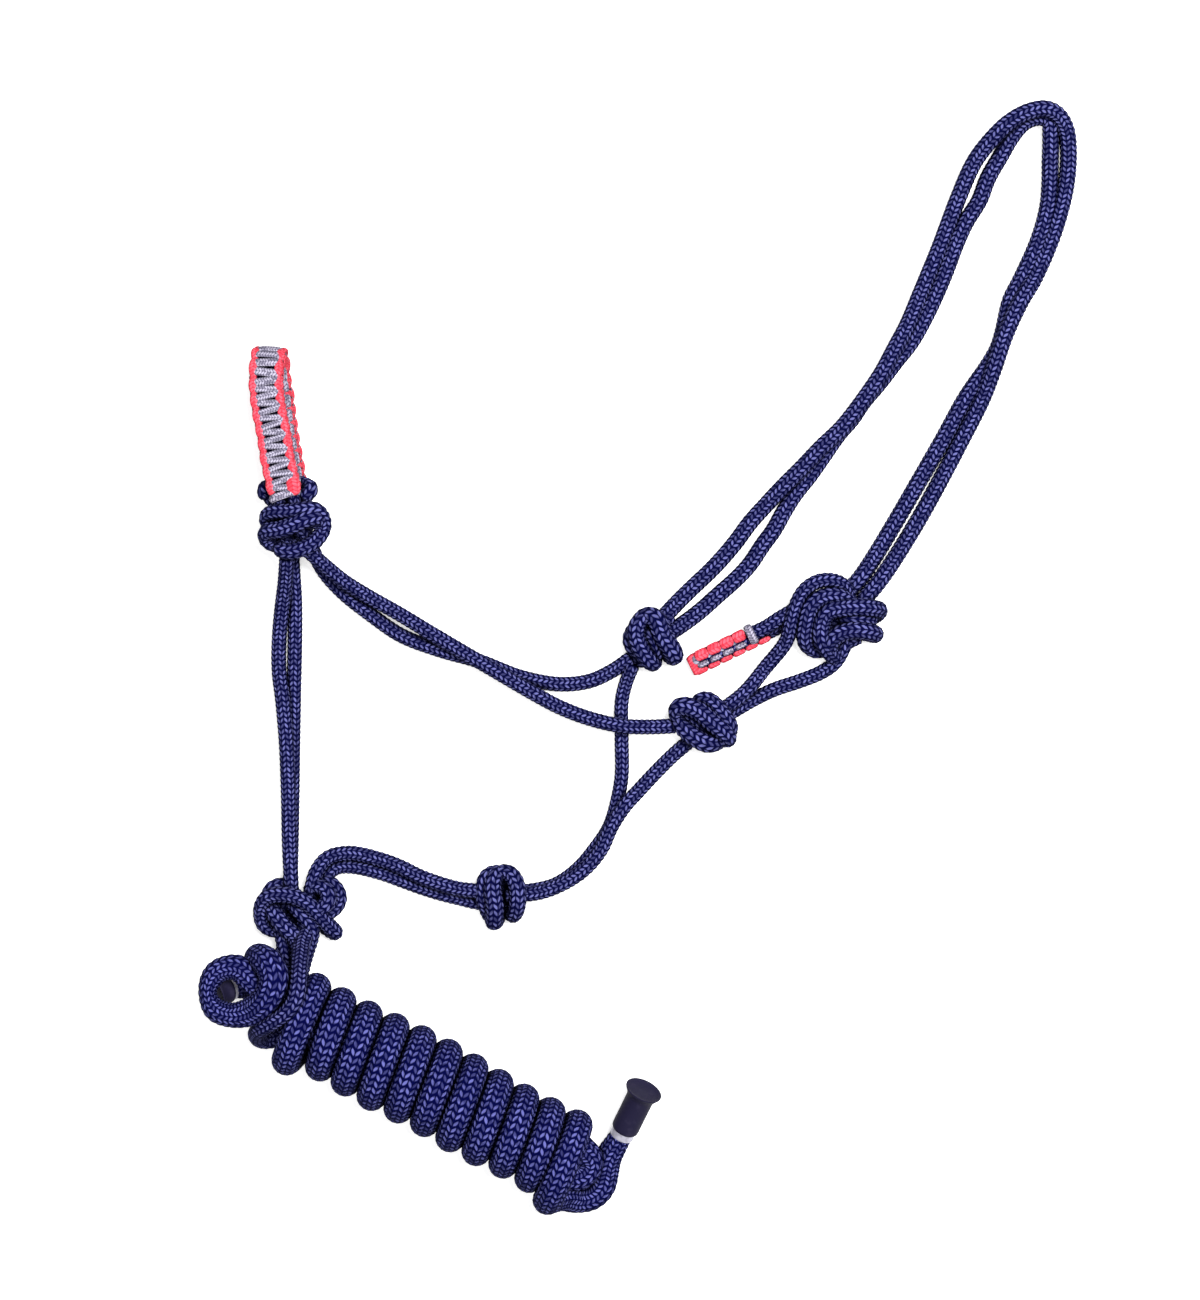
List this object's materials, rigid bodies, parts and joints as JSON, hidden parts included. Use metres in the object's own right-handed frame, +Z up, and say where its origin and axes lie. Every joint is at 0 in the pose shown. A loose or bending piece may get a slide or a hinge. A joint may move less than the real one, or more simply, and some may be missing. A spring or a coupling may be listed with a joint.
{
  "type": "rope halter with lead rope",
  "caption": "Knotted rope halter with a braided cord noseband, a tied crown and a coiled lead rope hitched through its chin loop, lying flat.",
  "frame": {"origin": "on the surface the halter lies on, under the centre of the halter's bounding box without its lead rope", "axes": "+Z up from the surface, +Y from the fiador knot towards the noseband, +X from the noseband towards the crown"},
  "size_m": [0.4223, 0.5344, 0.0508],
  "materials": {
    "halter_rope": "navy braided polyester rope with lighter flecks, slight sheen",
    "lead_rope": "navy double braided rope, coarser flecked herringbone",
    "grey_cord": "light grey braided nylon cord",
    "coral_cord": "bright coral braided nylon cord",
    "end_cap": "matte dark plum moulded sleeve",
    "ferrule": "crimped silver band, satin"
  },
  "bodies": {
    "halter": {"nose_knot_near": "halter_rope", "nose_knot_far": "halter_rope", "cheek_knot_near": "halter_rope", "cheek_knot_far": "halter_rope", "fiador_knot": "halter_rope", "throat_knot": "halter_rope", "crown_bend": "halter_rope", "nose_fiador_near": "halter_rope", "nose_fiador_far": "halter_rope", "nose_cheek_near": "halter_rope", "nose_cheek_far": "halter_rope", "throat_near": "halter_rope", "throat_far": "halter_rope", "chin_near": "halter_rope", "chin_far": "halter_rope", "tie_strand_upper": "halter_rope", "tie_strand_lower": "halter_rope", "crown_stubs": "halter_rope", "tail_stubs": "halter_rope", "fiador_neck": "halter_rope"},
    "noseband": {"noseband_core": "halter_rope", "noseband_grey_cord": "grey_cord", "noseband_coral_cord": "coral_cord"},
    "crown": {"crown_strand_outer": "halter_rope", "crown_strand_inner": "halter_rope"},
    "tie_tail": {"tail_strands": "halter_rope", "tail_braid": "coral_cord"},
    "lead": {"fiador_loop": "halter_rope", "lead_eye": "lead_rope", "lead_hank": "lead_rope", "lead_core_end": "lead_rope", "lead_free_end": "lead_rope", "end_caps": "end_cap", "end_ferrules": "ferrule"}
  },
  "joints": [
    {"name": "noseband_swing", "type": "hinge", "parent": "halter", "child": "noseband", "pos_m": [-0.1805, 0.0335, 0.017], "axis": [0, 0, 1], "range_deg": [-15, 15]},
    {"name": "crown_lift", "type": "hinge", "parent": "halter", "child": "crown", "pos_m": [0.0165, -0.011, 0.004], "axis": [0.9747, 0.2237, 0], "range_deg": [0, 80]},
    {"name": "tail_lift", "type": "hinge", "parent": "halter", "child": "tie_tail", "pos_m": [0.0525, -0.0235, 0.008], "axis": [-0.4149, 0.9098, 0], "range_deg": [0, 60]},
    {"name": "lead_swing", "type": "hinge", "parent": "halter", "child": "lead", "pos_m": [-0.177, -0.1665, 0.014], "axis": [0, 0, 1], "range_deg": [-6, 15]}
  ]
}
